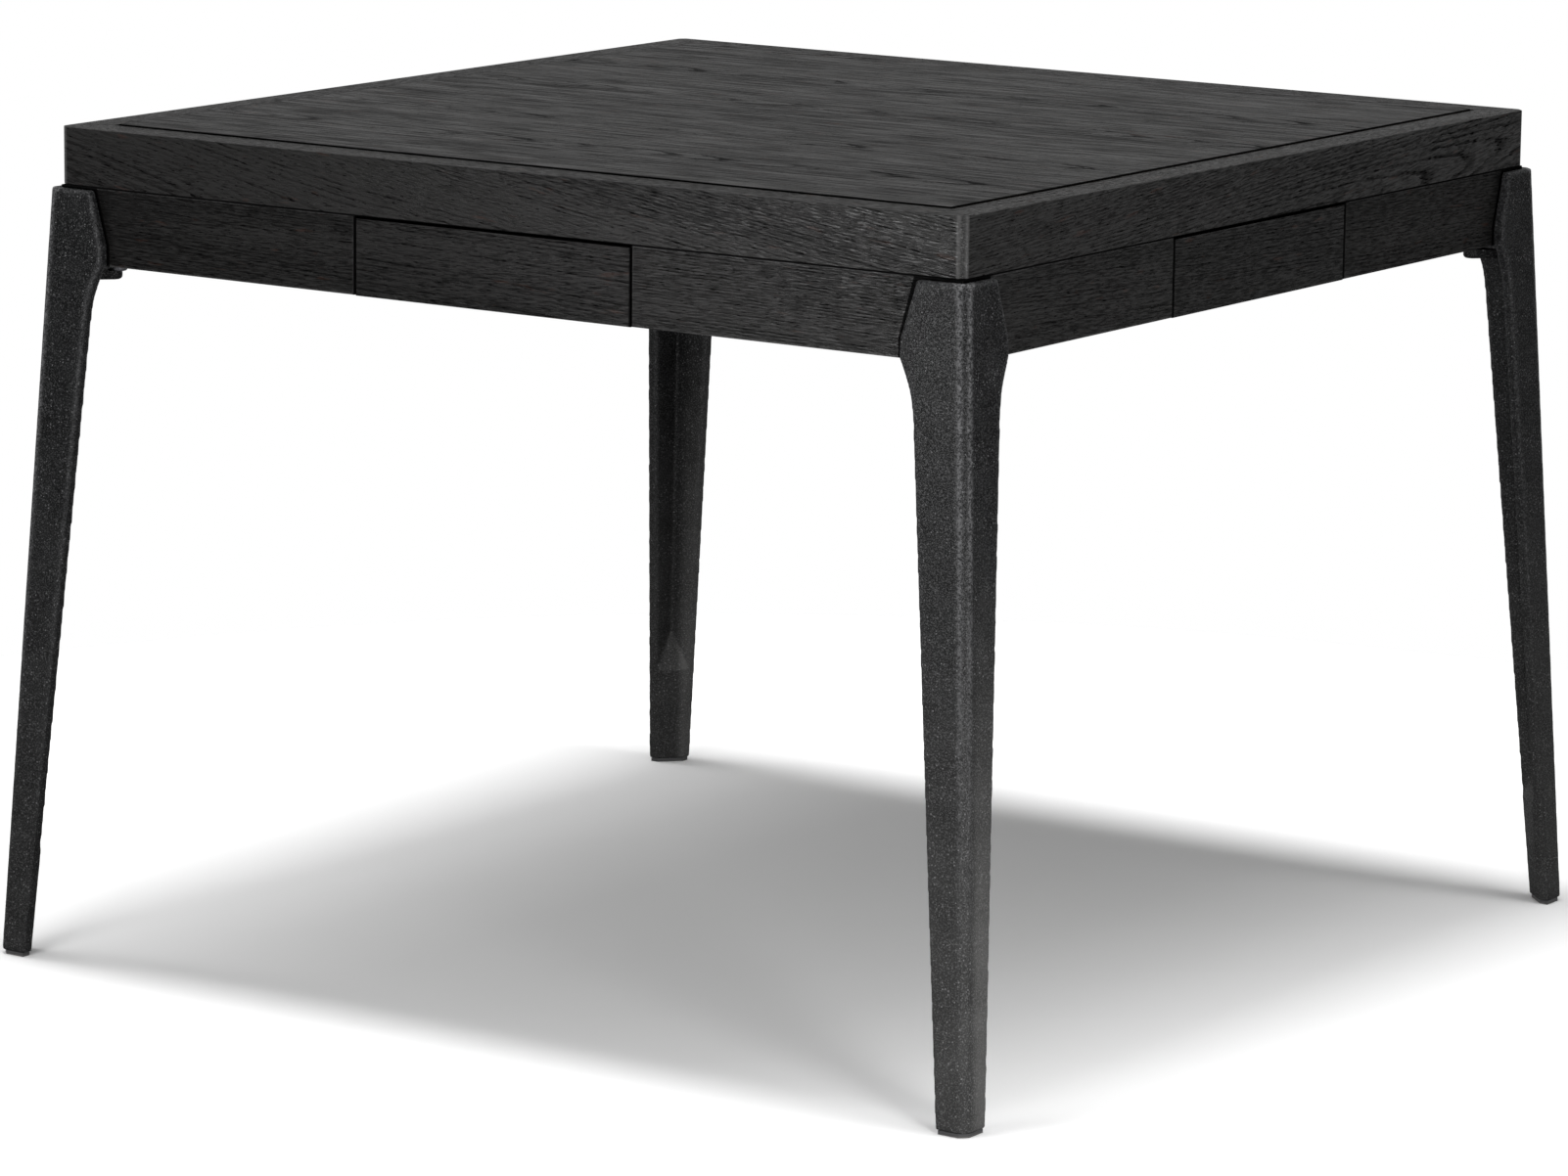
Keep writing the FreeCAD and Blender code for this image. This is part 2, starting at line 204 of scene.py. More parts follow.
# Open-grained oak round a pith that runs along the first axis and drifts a little
grainValues = {
    "seedStep": (1.37, 2.11, 0.73), "driftScale": (2.2, 4.0, 4.0), "crownStart": 0.55, "crownLeast": 0.001,
    "crownPower": 0.6, "jagScale": (75.0, 520.0, 520.0), "jagShare": 0.7, "patchScale": (26.0, 40.0, 40.0),
    "patchRange": (0.40, 0.56, 0.45, 1.0), "earlyRange": (0.05, 0.5, 1.0, 0.0),
    "strengthRange": (0.1, 0.8, 0.35, 1.0),
    "besideRange": (0.6, 1.5, 1.0, 0.15),  # beside the crown the early wood fades
    "poreScale": (95.0, 480.0, 480.0), "poreLimits": (0.2, 0.46), "poreHeart": 0.55,
    "fibreRange": (0.36, 0.64), "toneScale": (1.8, 22.0, 22.0),
}


def makeOakGrain():
    values = grainValues
    given = newGroup("oakGrain", ("Vector", "Pith Across", "Pith Depth", "Ring Width", "Taper", "Wander",
                                  "Crown Width", "Fibre Width", "Fibre Ratio", "Seed"))
    seedShift = addNode("VectorMath", {0: values["seedStep"], "Scale": given["Seed"]},
                        operation="SCALE").outputs[0]
    shifted = vectorMaths("ADD", given["Vector"], seedShift)
    drift = times(centred(noise(shifted, values["driftScale"], 1.0)), given["Wander"])
    driftWay = joinXyz(y=drift, z=drift)
    bent = vectorMaths("ADD", shifted, driftWay)
    along, across, depth = splitXyz(vectorMaths("ADD", given["Vector"], driftWay))
    across = minus(across, given["Pith Across"])
    depth = minus(depth, given["Pith Depth"])
    squares = [times(side, side) for side in (across, depth)]
    radius = maths("SQRT", plus(*squares))
    fromStart = most(plus(along, values["crownStart"]), values["crownLeast"])
    opening = maths("POWER", fromStart, values["crownPower"])
    radius = timesPlus(opening, given["Taper"], radius)
    jagged = centred(noise(bent, values["jagScale"]))
    ring = timesPlus(jagged, values["jagShare"], maths("DIVIDE", radius, given["Ring Width"]))
    ringNumber = plus(maths("FLOOR", ring), given["Seed"])
    ringStrength = addNode("TexWhiteNoise", {"W": ringNumber}, noise_dimensions="1D").outputs[0]
    patchy = smoothRange(noise(bent, values["patchScale"], 2.0, 0.6), *values["patchRange"])
    patchy = times(patchy, smoothRange(ringStrength, *values["strengthRange"]))
    early = times(smoothRange(maths("FRACT", ring), *values["earlyRange"]), patchy)
    beside = maths("DIVIDE", absolute(across), given["Crown Width"])
    early = times(early, smoothRange(beside, *values["besideRange"]))
    limit = evenRange(early, *values["poreLimits"])
    distance = cells(bent, values["poreScale"])["Distance"]
    pore = smoothRange(distance, times(limit, values["poreHeart"]), limit, 1.0, 0.0)
    fineness = maths("DIVIDE", 1.0, given["Fibre Width"])
    strokes = joinXyz(times(fineness, given["Fibre Ratio"]), fineness, fineness)
    fibre = smoothRange(noise(bent, strokes, 4.0, 0.68), *values["fibreRange"])
    tone = noise(bent, values["toneScale"], 3.0)
    return finishGroup({"Early": early, "Pore": pore, "Fibre": fibre, "Tone": tone})


# Rubbed edges of a box-shaped part: the middle one of the distances to its three nearest faces
edgeValues = {
    "raggedScale": 260.0, "reachRange": (0.1, 2.0), "patchScale": 9.0, "patchRange": (0.35, 0.6, 0.25, 1.0),
}


def makeWornEdges():
    given = newGroup("wornEdges", ("Vector", "Box Low", "Box High", "Width", "Seed"))
    fromLow = vectorMaths("SUBTRACT", given["Vector"], given["Box Low"])
    fromHigh = vectorMaths("SUBTRACT", given["Box High"], given["Vector"])
    x, y, z = splitXyz(vectorMaths("ABSOLUTE", vectorMaths("MINIMUM", fromLow, fromHigh)))
    middle = most(least(x, y), least(most(x, y), z))
    shifted = vectorMaths("ADD", given["Vector"], joinXyz(x=given["Seed"], z=given["Seed"]))
    ragged = noise(shifted, edgeValues["raggedScale"], 3.0, 0.6)
    reach = times(given["Width"], evenRange(ragged, *edgeValues["reachRange"]))
    wear = smoothRange(middle, 0.0, reach, 1.0, 0.0)
    patches = smoothRange(noise(shifted, edgeValues["patchScale"]), *edgeValues["patchRange"])
    return finishGroup({"Wear": times(wear, patches)})


# Hand marks and uneven lacquer, for roughness
handlingValues = {
    "cloudScale": 7.0, "cloudShare": 0.65, "speckScale": 85.0, "speckShare": 0.35, "range": (0.35, 0.65),
}


def makeHandling():
    values = handlingValues
    given = newGroup("handling", ("Vector", "Low", "High"))
    clouds = times(noise(given["Vector"], values["cloudScale"], 3.0), values["cloudShare"])
    specks = noise(given["Vector"], values["speckScale"])
    both = timesPlus(specks, values["speckShare"], clouds)
    span = minus(given["High"], given["Low"])
    return finishGroup({"Roughness": timesPlus(smoothRange(both, *values["range"]), span, given["Low"])})


# Grit of sand-cast or painted metal: a fine pebbled height and sparse bright specks
gritValues = {
    "pebbleShare": -0.6, "grainScale": 0.42, "grainRange": (0.13, 0.30, 1.0, 0.0),
    "grainLevels": (0.45, 1.0), "frostRange": (0.50, 0.66, 0.0, 0.31), "cloudScale": 30.0,
}


def makeGrit():
    values = gritValues
    given = newGroup("grit", ("Vector", "Size"))
    size = maths("DIVIDE", 1.0, given["Size"])
    sizes = joinXyz(size, size, size)
    small = noise(given["Vector"], sizes, 2.0, 0.6)
    pebbles = cells(given["Vector"], sizes)["Distance"]
    height = timesPlus(pebbles, values["pebbleShare"], small)
    grains = cells(given["Vector"], stretched(sizes, values["grainScale"]))
    grainLevel = addNode("SeparateColor", {0: grains["Color"]}).outputs[0]
    grain = times(smoothRange(grains["Distance"], *values["grainRange"]),
                  smoothRange(grainLevel, *values["grainLevels"]))
    frosted = smoothRange(small, *values["frostRange"])
    return finishGroup({"Height": plus(height, grain), "Specks": most(grain, frosted),
                        "Clouds": noise(given["Vector"], values["cloudScale"], 3.0)})


oakGrain = makeOakGrain()
wornEdges = makeWornEdges()
handling = makeHandling()
grit = makeGrit()
print("shader groups made")


def edgeWear(place, box, width, seed):
    return useGroup(wornEdges, {
        "Vector": place, "Box Low": box[0], "Box High": box[1], "Width": width, "Seed": seed})["Wear"]


def handledRoughness(place, limits):
    return useGroup(handling, {"Vector": place, "Low": limits[0], "High": limits[1]})["Roughness"]


# Lights: a row of soft boxes overhead that runs about along X, a level band all round, and two soft
# lamps before the near corner
lightValues = {
    "band": 0.46,
    "bandTop": (0.55, 0.90),  # sine of the height where the band fades out
    "horizon": (-0.05, 0.0),
    "background": 1.0,
    "underfoot": 0.30,
    "overhead": 1.16,  # brightness that the row gives the floor's middle
    "overheadHeight": 5.0,
    "overheadForward": 0.06,
    "overheadDepth": 0.90,
    "overheadTurn": 5,
    "overheadRow": [  # place along X, width, share of the light
        (-2.87, 0.94, 0.023), (-1.93, 0.94, 0.079), (-0.98, 0.94, 0.144), (0.0, 1.00, 0.508),
        (0.98, 0.94, 0.144), (1.93, 0.94, 0.079), (2.87, 0.94, 0.023),
    ],
    "lamps": {
        "sheenLamp": {"place": (-0.22, -1.86, 0.605), "aim": (0.25, -0.48, 0.7), "size": (0.70, 0.26),
                      "glow": 29.0},
        "cornerLamp": {"place": (1.40, -1.06, 0.30), "aim": (0.50, -0.50, 0.2), "size": (0.28, 0.6),
                       "glow": 20.0},
    },
    "floorRadius": 1.5,
    "floorSides": 128,
    "floorBounce": 0.20,
    "floorTone": 0.93,
}


def seenDirectly():
    path = addNode("LightPath").outputs
    return most(most(path["Is Camera Ray"], path["Is Glossy Ray"]), path["Is Transmission Ray"])


def lightWorld():
    world = bpy.data.worlds.new("studio")
    bpy.context.scene.world = world
    beginTree(world)
    height = splitXyz(addNode("TexCoord").outputs["Generated"])["Z"]
    band = smoothRange(height, *lightValues["bandTop"], lightValues["band"], 0.0)
    below = smoothRange(height, *lightValues["horizon"], lightValues["underfoot"], 1.0)
    strength = evenRange(seenDirectly(), least(band, below), lightValues["background"])
    glow = addNode("Background", {"Color": (1.0, 1.0, 1.0, 1.0), "Strength": strength})
    addNode("OutputWorld", {"Surface": glow.outputs[0]})


def hangLamp(name, place, facing, size, power):
    bpy.ops.object.light_add(type="AREA", location=place, rotation=facing)
    lamp = bpy.context.object
    lamp.name = name
    lamp.visible_camera = False
    lamp.data.shape = "RECTANGLE"
    lamp.data.size, lamp.data.size_y = size
    lamp.data.energy = power


def hangOverheadRow():
    turn = Matrix.Rotation(math.radians(lightValues["overheadTurn"]), 3, "Z")
    drop = lightValues["overheadHeight"]
    for index, (along, width, share) in enumerate(lightValues["overheadRow"]):
        fading = (drop ** 2 / (drop ** 2 + along ** 2)) ** 2
        hangLamp("overhead_%d" % index, turn @ Vector((along, -lightValues["overheadForward"], drop)),
                 turn.to_euler(), (width, lightValues["overheadDepth"]),
                 lightValues["overhead"] * share * (math.pi * drop) ** 2 / fading)


def standLamps():
    for name, values in lightValues["lamps"].items():
        place, (width, height) = Vector(values["place"]), values["size"]
        facing = (Vector(values["aim"]) - place).to_track_quat("-Z", "Y").to_euler()
        hangLamp(name, place, facing, (width, height), math.pi * width * height * values["glow"])


def layFloor():
    material = newMaterial("floorPaper")
    tone = evenRange(seenDirectly(), lightValues["floorBounce"], lightValues["floorTone"])
    paper = addNode("BsdfDiffuse", {"Color": tone})
    clear = addNode("BsdfTransparent")  # from below the floor doesn't hide the table
    fromBelow = addNode("NewGeometry").outputs["Backfacing"]
    sheet = addNode("MixShader", {0: fromBelow, 1: paper.outputs[0], 2: clear.outputs[0]})
    addNode("OutputMaterial", {"Surface": sheet.outputs[0]})
    bpy.ops.mesh.primitive_circle_add(radius=lightValues["floorRadius"], vertices=lightValues["floorSides"],
                                      fill_type="NGON")
    floor = bpy.context.object
    floor.name = "floor"
    floor.data.materials.append(material)


lightWorld()
hangOverheadRow()
standLamps()
layFloor()
print("lights and floor set")


# Helpers for pieces
def dress(nodeName, material):
    node = nodes[nodeName]
    if not node.material_slots:
        node.data.materials.append(material)
    for place in node.material_slots:
        place.material = material


def setMode(mode):
    bpy.ops.object.mode_set(mode=mode)


def clearSelection():
    if bpy.context.object and bpy.context.object.mode != "OBJECT":
        setMode("OBJECT")
    bpy.ops.object.select_all(action="DESELECT")


def pick(piece):
    clearSelection()
    piece.select_set(True)
    bpy.context.view_layer.objects.active = piece


def applyModifier(piece, kind, **settings):
    pick(piece)
    modifier = piece.modifiers.new(kind.lower(), kind)
    for name, value in settings.items():
        setattr(modifier, name, value)
    bpy.ops.object.modifier_apply(modifier=modifier.name)


def displace(piece, name, size, height, **settings):
    texture = bpy.data.textures.new(name, "CLOUDS")
    texture.noise_scale = size
    texture.noise_depth = 2
    applyModifier(piece, "DISPLACE", texture=texture, strength=height, mid_level=0.5, **settings)


def quarterTurn(turns, size=4):
    return Matrix.Rotation(math.radians(90 * turns), size, "Z")


def placeCopy(name, mesh, matrix):
    mesh = mesh.copy()
    mesh.transform(matrix)
    copy = bpy.data.objects.new(name, mesh)
    bpy.context.scene.collection.objects.link(copy)
    return copy


# Wood looks. Colours are linear; the pore colour also darkens the early wood and colours the painted shade
# along the joints
stainedOak = {
    "dark": (0.0037, 0.0036, 0.0035), "light": (0.0120, 0.0117, 0.0114), "pore": (0.0015, 0.0015, 0.0015),
    "fibreShare": 0.9, "earlyShare": 0.45, "poreShare": 0.9, "fleck": (0.034, 0.015, 0.010),
    # the worn colour also paints the highlights on the rim's corners
    "fleckShare": 0.35, "worn": (0.072, 0.071, 0.071), "wearShare": 0.38, "chamferShare": 0.8,
    "edgeWidth": 0.0010, "roughness": (0.50, 0.64), "coat": 0.152, "coatRoughness": 0.24, "specular": 0.0,
    "poreDepth": 0.00025,
    # painted shade along its joints
    "paintsJointShade": True,  # shows the dark lines along its joints
}
panelOak = dict(stainedOak, earlyShare=0.9, fibreShare=0.5)
rimOak = dict(stainedOak, coat=0.185, fibreShare=0.8)
# the apron's wider, stronger worn edges are partly wear and partly a painted highlight along its edges
apronOak = dict(stainedOak, edgeWidth=0.0021, wearShare=0.6, fibreShare=0.8)
innerWood = dict(
    stainedOak, dark=(0.016, 0.0145, 0.013), light=(0.050, 0.045, 0.040), worn=(0.16, 0.12, 0.08),
    earlyShare=0.25, poreShare=0.35, fleckShare=0.1, roughness=(0.62, 0.8), coat=0.03, poreDepth=0.0001,
    paintsJointShade=False)
drawerWood = dict(
    innerWood, dark=(0.045, 0.033, 0.024), light=(0.110, 0.084, 0.062), pore=(0.022, 0.016, 0.012),
    worn=(0.20, 0.15, 0.10), earlyShare=0.3, poreShare=0.4, edgeWidth=0.0008, roughness=(0.42, 0.58),
    coat=0.12)
drawerPly = dict(
    drawerWood, dark=(0.036, 0.028, 0.022), light=(0.085, 0.068, 0.054), earlyShare=0.5,
    roughness=(0.5, 0.66), coat=0.08)


def grainPlace(along):
    place = objectPlace()
    turned = addNode("Mapping", {"Vector": place, "Rotation": (0, 0, -math.pi / 2)}).outputs[0]
    if along in ("X", "leaves"):
        return place, place
    if along == "Y":
        return place, turned
    x, y, z = splitXyz(place)  # round a square ring
    sideways = above(absolute(x), absolute(y))
    return place, mixVectors(sideways, place, turned)


# Painted shade: dark lines in the gaps where the panel meets the rim, the rim meets the apron, and a drawer
# or a leg meets the apron
jointValues = {
    "panelReach": 0.0009, "apronReach": 0.0007, "drawerReach": 0.0009, "fade": 0.0005, "share": 0.92,
    "sameLevel": 0.0005,
}


# Two corners of a leg's outline on the apron: at the top and at the shoulder
def legOutline():
    apronLow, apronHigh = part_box("apron_back_left")
    points = [v.co for v in nodes["leg_back_right"].data.vertices
              if v.co.y > apronHigh.y and v.co.z > apronLow.z]
    top = max(p.z for p in points) - jointValues["sameLevel"]
    return min((p for p in points if p.z > top), key=lambda p: p.x), min(points, key=lambda p: p.x)


def outsideGap(value, low, high):
    fromMiddle = absolute(minus(value, (low + high) / 2))
    return minus(fromMiddle, (high - low) / 2)


def jointShade(place, legShadeReach):
    x, y, z = splitXyz(vectorMaths("ABSOLUTE", place))
    panelEdge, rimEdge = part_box("panel_oak_face")[1].x, -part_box("rim_rail_front")[1].y
    fromPanel = outsideGap(most(x, y), panelEdge, rimEdge)
    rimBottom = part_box("rim_rail_front")[0].z
    fromRim = absolute(minus(z, rimBottom))
    aboveApron = above(z, rimBottom)
    nearer = least(x, y)
    drawerEnd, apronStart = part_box("drawer_front_face")[1].x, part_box("apron_front_right")[0].x
    fromDrawer = plus(outsideGap(nearer, drawerEnd, apronStart), aboveApron)
    legTop, shoulder = legOutline()
    legEdge = addNode("MapRange", {
        "Value": z, "From Min": shoulder.z, "From Max": legTop.z, "To Min": shoulder.x, "To Max": legTop.x})
    fromLeg = plus(minus(legEdge.outputs[0], nearer), aboveApron)
    lines = []
    for distance, reach in ((fromPanel, jointValues["panelReach"]), (fromRim, jointValues["apronReach"]),
                            (fromDrawer, jointValues["drawerReach"]), (fromLeg, legShadeReach)):
        lines.append(smoothRange(distance, reach, reach + jointValues["fade"], jointValues["share"], 0.0))
    shade = lines[0]
    for line in lines[1:]:
        shade = most(shade, line)
    return shade


# The two arrises of the rim's chamfered corners and patches of the facet between them: partly worn, partly a
# painted highlight
chamferValues = {
    "raggedScale": (420.0, 420.0, 1100.0), "reachRange": (0.0010, 0.0052),
    "facetRange": (0.0, 0.0005, 1.0, 0.0), "facetPatches": (0.40, 0.62, 0.08, 0.50),
}


def chamferWearAndHighlight(place):
    rimFace = -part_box("rim_rail_front")[0].y
    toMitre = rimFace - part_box("rim_rail_front")[1].x  # half the chamfer, because the mitre halves it
    x, y, z = splitXyz(vectorMaths("ABSOLUTE", place))
    fromFace = minus(rimFace, most(x, y))
    fromChamfer = absolute(minus(plus(x, y), 2 * (rimFace - toMitre)))
    ragged = noise(place, chamferValues["raggedScale"], 3.0, 0.6)
    reach = evenRange(ragged, *chamferValues["reachRange"])
    arrises = smoothRange(most(fromFace, fromChamfer), 0.0, reach, 1.0, 0.0)
    facet = times(smoothRange(fromChamfer, *chamferValues["facetRange"]),
                  smoothRange(ragged, *chamferValues["facetPatches"]))
    return most(arrises, facet)


# What all woods share, and the values of a board that has none of its own
woodValues = {
    "topDepth": 0.0002, "toneRange": (0.3, 0.7), "fleckScale": (28.0, 150.0, 150.0),
    "fleckRange": (0.66, 0.76, 0.0), "mitreRange": (0.0001, 0.0005, 0.5, 0.0), "openEarly": 0.75,
    "openPore": 0.7, "coatSpread": (0.45, 1.55), "fibreHeight": 0.5, "openHeight": -0.8,
    "reliefStrength": 0.7,
}
plainBoard = {
    "pith": (0.0, 0.0), "ringWidth": 0.0022, "taper": 0.03, "wander": 0.03, "crownWidth": 1.0,
    "fibreWidth": 0.0013, "fibreRatio": 0.10, "seed": 0.0, "tone": 0.0, "paintedTopLight": 0.0, "slope": 0.0,
    "legShadeReach": 0.0012,
}


def woodMaterial(name, look, along, box, board, mitred):
    material = newMaterial(name)
    values, seed = woodValues, board["seed"]
    place, run = grainPlace(along)
    if board["slope"]:
        rise = times(splitXyz(run)["X"], board["slope"])
        run = vectorMaths("ADD", run, joinXyz(z=rise))
    leaf = {"Pith Across": board["pith"][0], "Pith Depth": board["pith"][1], "Seed": seed}
    if along == "leaves":
        leaf = panelLeaf(run)
    grain = useGroup(oakGrain, {
        "Vector": run, "Ring Width": board["ringWidth"], "Taper": board["taper"], "Wander": board["wander"],
        "Crown Width": board["crownWidth"], "Fibre Width": board["fibreWidth"],
        "Fibre Ratio": board["fibreRatio"], **leaf})
    boardTone = plus(smoothRange(grain["Tone"], *values["toneRange"]), board["tone"])
    boardTone = timesPlus(centred(grain["Fibre"]), look["fibreShare"], boardTone)
    onTop = above(splitXyz(place)["Z"], box[1].z - values["topDepth"])
    # painted light: a board's top face is made lighter, standing in for the sheen that falls on it
    boardTone = timesPlus(onTop, board["paintedTopLight"], boardTone)
    boardTone = least(most(boardTone, 0.0), 1.0)
    colour = mixColours(boardTone, look["dark"], look["light"])
    colour = mixColours(times(grain["Early"], look["earlyShare"]), colour, look["pore"])
    colour = mixColours(times(grain["Pore"], look["poreShare"]), colour, look["pore"])
    flecks = noise(vectorMaths("ADD", run, (seed, seed, 0.0)), values["fleckScale"])
    flecks = smoothRange(flecks, *values["fleckRange"], look["fleckShare"])
    colour = mixColours(flecks, colour, look["fleck"])
    wear = times(edgeWear(place, box, look["edgeWidth"], seed), look["wearShare"])
    if mitred:
        # worn arrises and a painted highlight on the rim's corners
        wear = most(wear, times(chamferWearAndHighlight(place), look["chamferShare"]))
    colour = mixColours(wear, colour, look["worn"])
    if mitred:
        x, y, z = splitXyz(place)
        line = smoothRange(absolute(minus(absolute(x), absolute(y))), *values["mitreRange"])
        colour = mixColours(times(line, onTop), colour, look["pore"])
    openGrain = timesPlus(grain["Early"], values["openEarly"], times(grain["Pore"], values["openPore"]))
    bare = openGrain
    if look["paintsJointShade"]:
        # painted shade along the joints, with no lacquer there
        shade = jointShade(place, board["legShadeReach"])
        colour = mixColours(shade, colour, look["pore"])
        bare = most(openGrain, shade)
    closed = most(minus(1.0, bare), 0.0)
    coats = [look["coat"] * spread for spread in values["coatSpread"]]
    lacquer = times(closed, evenRange(grain["Fibre"], *coats))
    height = timesPlus(grain["Fibre"], values["fibreHeight"], times(openGrain, values["openHeight"]))
    relief = bumpFrom(height, look["poreDepth"], values["reliefStrength"])
    return finishMaterial(material, {
        "Base Color": colour, "Roughness": handledRoughness(place, look["roughness"]), "Coat Weight": lacquer,
        "Coat Roughness": look["coatRoughness"], "Specular IOR Level": look["specular"], "Normal": relief,
        "Coat Normal": relief})


def dressWood(nodeName, name, look, along, board, mitred=False):
    dress(nodeName, woodMaterial(name, look, along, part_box(nodeName), dict(plainBoard, **board), mitred))


# Top panel: five crown-cut veneer leaves, each with its own pith, laid side by side along X
panelValues = {
    "leaves": [  # pith across, pith below the face, seed
        (-0.308, 0.085, 3.1), (-0.158, 0.070, 7.7), (0.067, 0.060, 12.4), (0.240, 0.080, 16.9),
        (0.442, 0.090, 22.3),
    ],
    "seams": [-0.233, -0.045, 0.152, 0.340],
    "grain": {"ringWidth": 0.0024, "taper": 0.046, "wander": 0.012, "crownWidth": 0.020, "fibreWidth": 0.0040,
              "fibreRatio": 0.055, "seed": 1.0, "tone": 0.05},
}


def panelLeaf(run):
    x, across, z = splitXyz(run)
    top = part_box("panel_oak_face")[1].z
    piths, depths, seeds = zip(*panelValues["leaves"])
    found = {"Pith Across": piths, "Pith Depth": [top - depth for depth in depths], "Seed": seeds}
    for name, values in found.items():
        value = values[0]
        for seam, before, after in zip(panelValues["seams"], values, values[1:]):
            value = timesPlus(above(across, seam), after - before, value)
        found[name] = value
    return found


# Boards of the rim and apron, and the drawer faces. Pith places are across and above the floor
boardValues = {
    "rim_rail_front": {"pith": (-0.33, 0.63), "seed": 31.0, "tone": 0.38, "slope": 0.12},
    # its top face is painted lighter, a painted sheen
    "rim_rail_right": {"pith": (-0.42, 0.690), "seed": 32.0, "tone": 0.30, "slope": -0.10, "paintedTopLight": 0.55},
    "rim_rail_back": {"pith": (0.40, 0.66), "seed": 33.0},
    "rim_rail_left": {"pith": (0.36, 0.70), "seed": 34.0},
    "apron_front_left": {"pith": (-0.40, 0.60), "seed": 41.0, "tone": -0.10},
    "drawer_front_face": {"pith": (-0.30, 0.58), "seed": 42.0, "tone": 0.05},
    # the wide leg reach here paints the shadow that the front leg casts on this apron
    "apron_front_right": {"pith": (-0.36, 0.50), "seed": 43.0, "tone": 0.15, "legShadeReach": 0.0080},
    "apron_right_left": {"pith": (-0.38, 0.60), "seed": 44.0, "tone": -0.10},
    "drawer_right_face": {"pith": (-0.36, 0.56), "seed": 45.0, "tone": -0.35},
    "apron_right_right": {"pith": (-0.40, 0.58), "seed": 46.0, "tone": 0.1,
                          "finish": {"coat": 0.145, "coatRoughness": 0.5}},  # duller than the others
}
# Limits of the chance values for a board that isn't listed above
boardLimits = {"across": (0.34, 0.45), "up": (0.55, 0.68), "seed": (50, 90), "tone": (-0.12, 0.12)}


def dressBoards():
    for turns, side in enumerate(sideNames):
        along = "X" if turns % 2 == 0 else "Y"
        for name in ("rim_rail_" + side, "apron_" + side + "_left", "drawer_" + side + "_face",
                     "apron_" + side + "_right"):
            sign = -1 if side in ("front", "right") else 1
            across, up, seed, tone = (chance.uniform(*limits) for limits in boardLimits.values())
            board = boardValues.get(name, {"pith": (sign * across, up), "seed": seed, "tone": tone})
            look = {"rim": rimOak, "apron": apronOak, "drawer": stainedOak}[name.split("_")[0]]
            dressWood(name, "oak_" + name, dict(look, **board.get("finish", {})), along, board,
                      name.startswith("rim"))


dressWood("panel_oak_face", "oakPanelFace", panelOak, "leaves", panelValues["grain"])
dressBoards()
print("oak dressed")


# Wood under the top and in the drawers
insideValues = {
    "seeds": (1, 30),
    "support": {"pith": (0.3, 0.6), "ringWidth": 0.0035},
    "rail": {"pith": (0.05, 0.62), "ringWidth": 0.004},
    "wall": {"ringWidth": 0.0035},
    "wallPith": ((-0.2, 0.2), (0.5, 0.6)),
    "floor": {"ringWidth": 0.0045, "taper": 0.07, "wander": 0.05},
    "floorAcross": (-0.3, 0.3),
    "floorDepth": 0.62,
}


def seeded(board, **more):
    return dict(board, **more, seed=chance.uniform(*insideValues["seeds"]))


def dressInside():
    values = insideValues
    for name, along in (("panel_ledges", "ring"), ("corner_blocks", "X")):
        dressWood(name, "inner_" + name, innerWood, along, seeded(values["support"]))
    for turns, side in enumerate(sideNames):
        across, inward = ("X", "Y") if turns % 2 == 0 else ("Y", "X")
        rail, drawer = "grid_rail_" + side, "drawer_" + side + "_"
        dressWood(rail, "inner_" + rail, innerWood, across, seeded(values["rail"]))
        for part, along in (("wall_left", inward), ("wall_right", inward), ("rear_board", across)):
            pith = [chance.uniform(*limits) for limits in values["wallPith"]]
            dressWood(drawer + part, drawer + part, drawerWood, along, seeded(values["wall"], pith=pith))
        floor = seeded(values["floor"], pith=(chance.uniform(*values["floorAcross"]), values["floorDepth"]))
        dressWood(drawer + "floor", "drawerPly_" + side, drawerPly, across, floor)


dressInside()
print("inner wood dressed")


# Fibre board of the panel, stained black where it shows
fibreBoard = {
    "dark": (0.020, 0.018, 0.0165), "light": (0.062, 0.055, 0.048), "worn": (0.14, 0.11, 0.085),
    "specular": 0.2, "roughness": (0.7, 0.86), "chipSize": 0.0007, "speckShare": 0.35, "edgeWidth": 0.0012,
    "wearShare": 0.4, "seed": 5.0, "relief": (0.00012, 0.6),
}


def dressCore():
    material = newMaterial("fibreBoard")
    place = objectPlace()
    chips = useGroup(grit, {"Vector": place, "Size": fibreBoard["chipSize"]})
    specks = times(chips["Specks"], fibreBoard["speckShare"])
    wear = edgeWear(place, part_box("panel_core"), fibreBoard["edgeWidth"], fibreBoard["seed"])
    colour = mixColours(chips["Clouds"], fibreBoard["dark"], fibreBoard["light"])
    colour = mixColours(specks, colour, fibreBoard["worn"])
    colour = mixColours(times(wear, fibreBoard["wearShare"]), colour, fibreBoard["worn"])
    dress("panel_core", finishMaterial(material, {
        "Base Color": colour, "Roughness": handledRoughness(place, fibreBoard["roughness"]),
        "Specular IOR Level": fibreBoard["specular"],
        "Normal": bumpFrom(chips["Height"], *fibreBoard["relief"])}))


# Steel: plated slides, and brackets and bolts in black oxide
platedSteel = {"dark": (0.42, 0.43, 0.45), "light": (0.50, 0.51, 0.53), "stain": (0.24, 0.24, 0.25),
               "metallic": 1.0, "roughness": (0.28, 0.36), "stainShare": 0.16, "lineDepth": 0.00004}
blackSteel = {"dark": (0.028, 0.028, 0.031), "light": (0.060, 0.060, 0.066), "stain": (0.16, 0.15, 0.145),
              "metallic": 0.75, "roughness": (0.36, 0.52), "stainShare": 0.35, "lineDepth": 0.00005}
steelValues = {
    "seedStep": (1.0, 0.7, 0.0), "lineScale": (14.0, 2600.0, 2600.0), "lineShare": 0.2, "lineStrength": 0.5,
    "cloudScale": 42.0, "cloudRange": (0.3, 0.7), "rubScale": (18.0, 330.0, 330.0),
    "rubRange": (0.58, 0.72, 0.0),
}


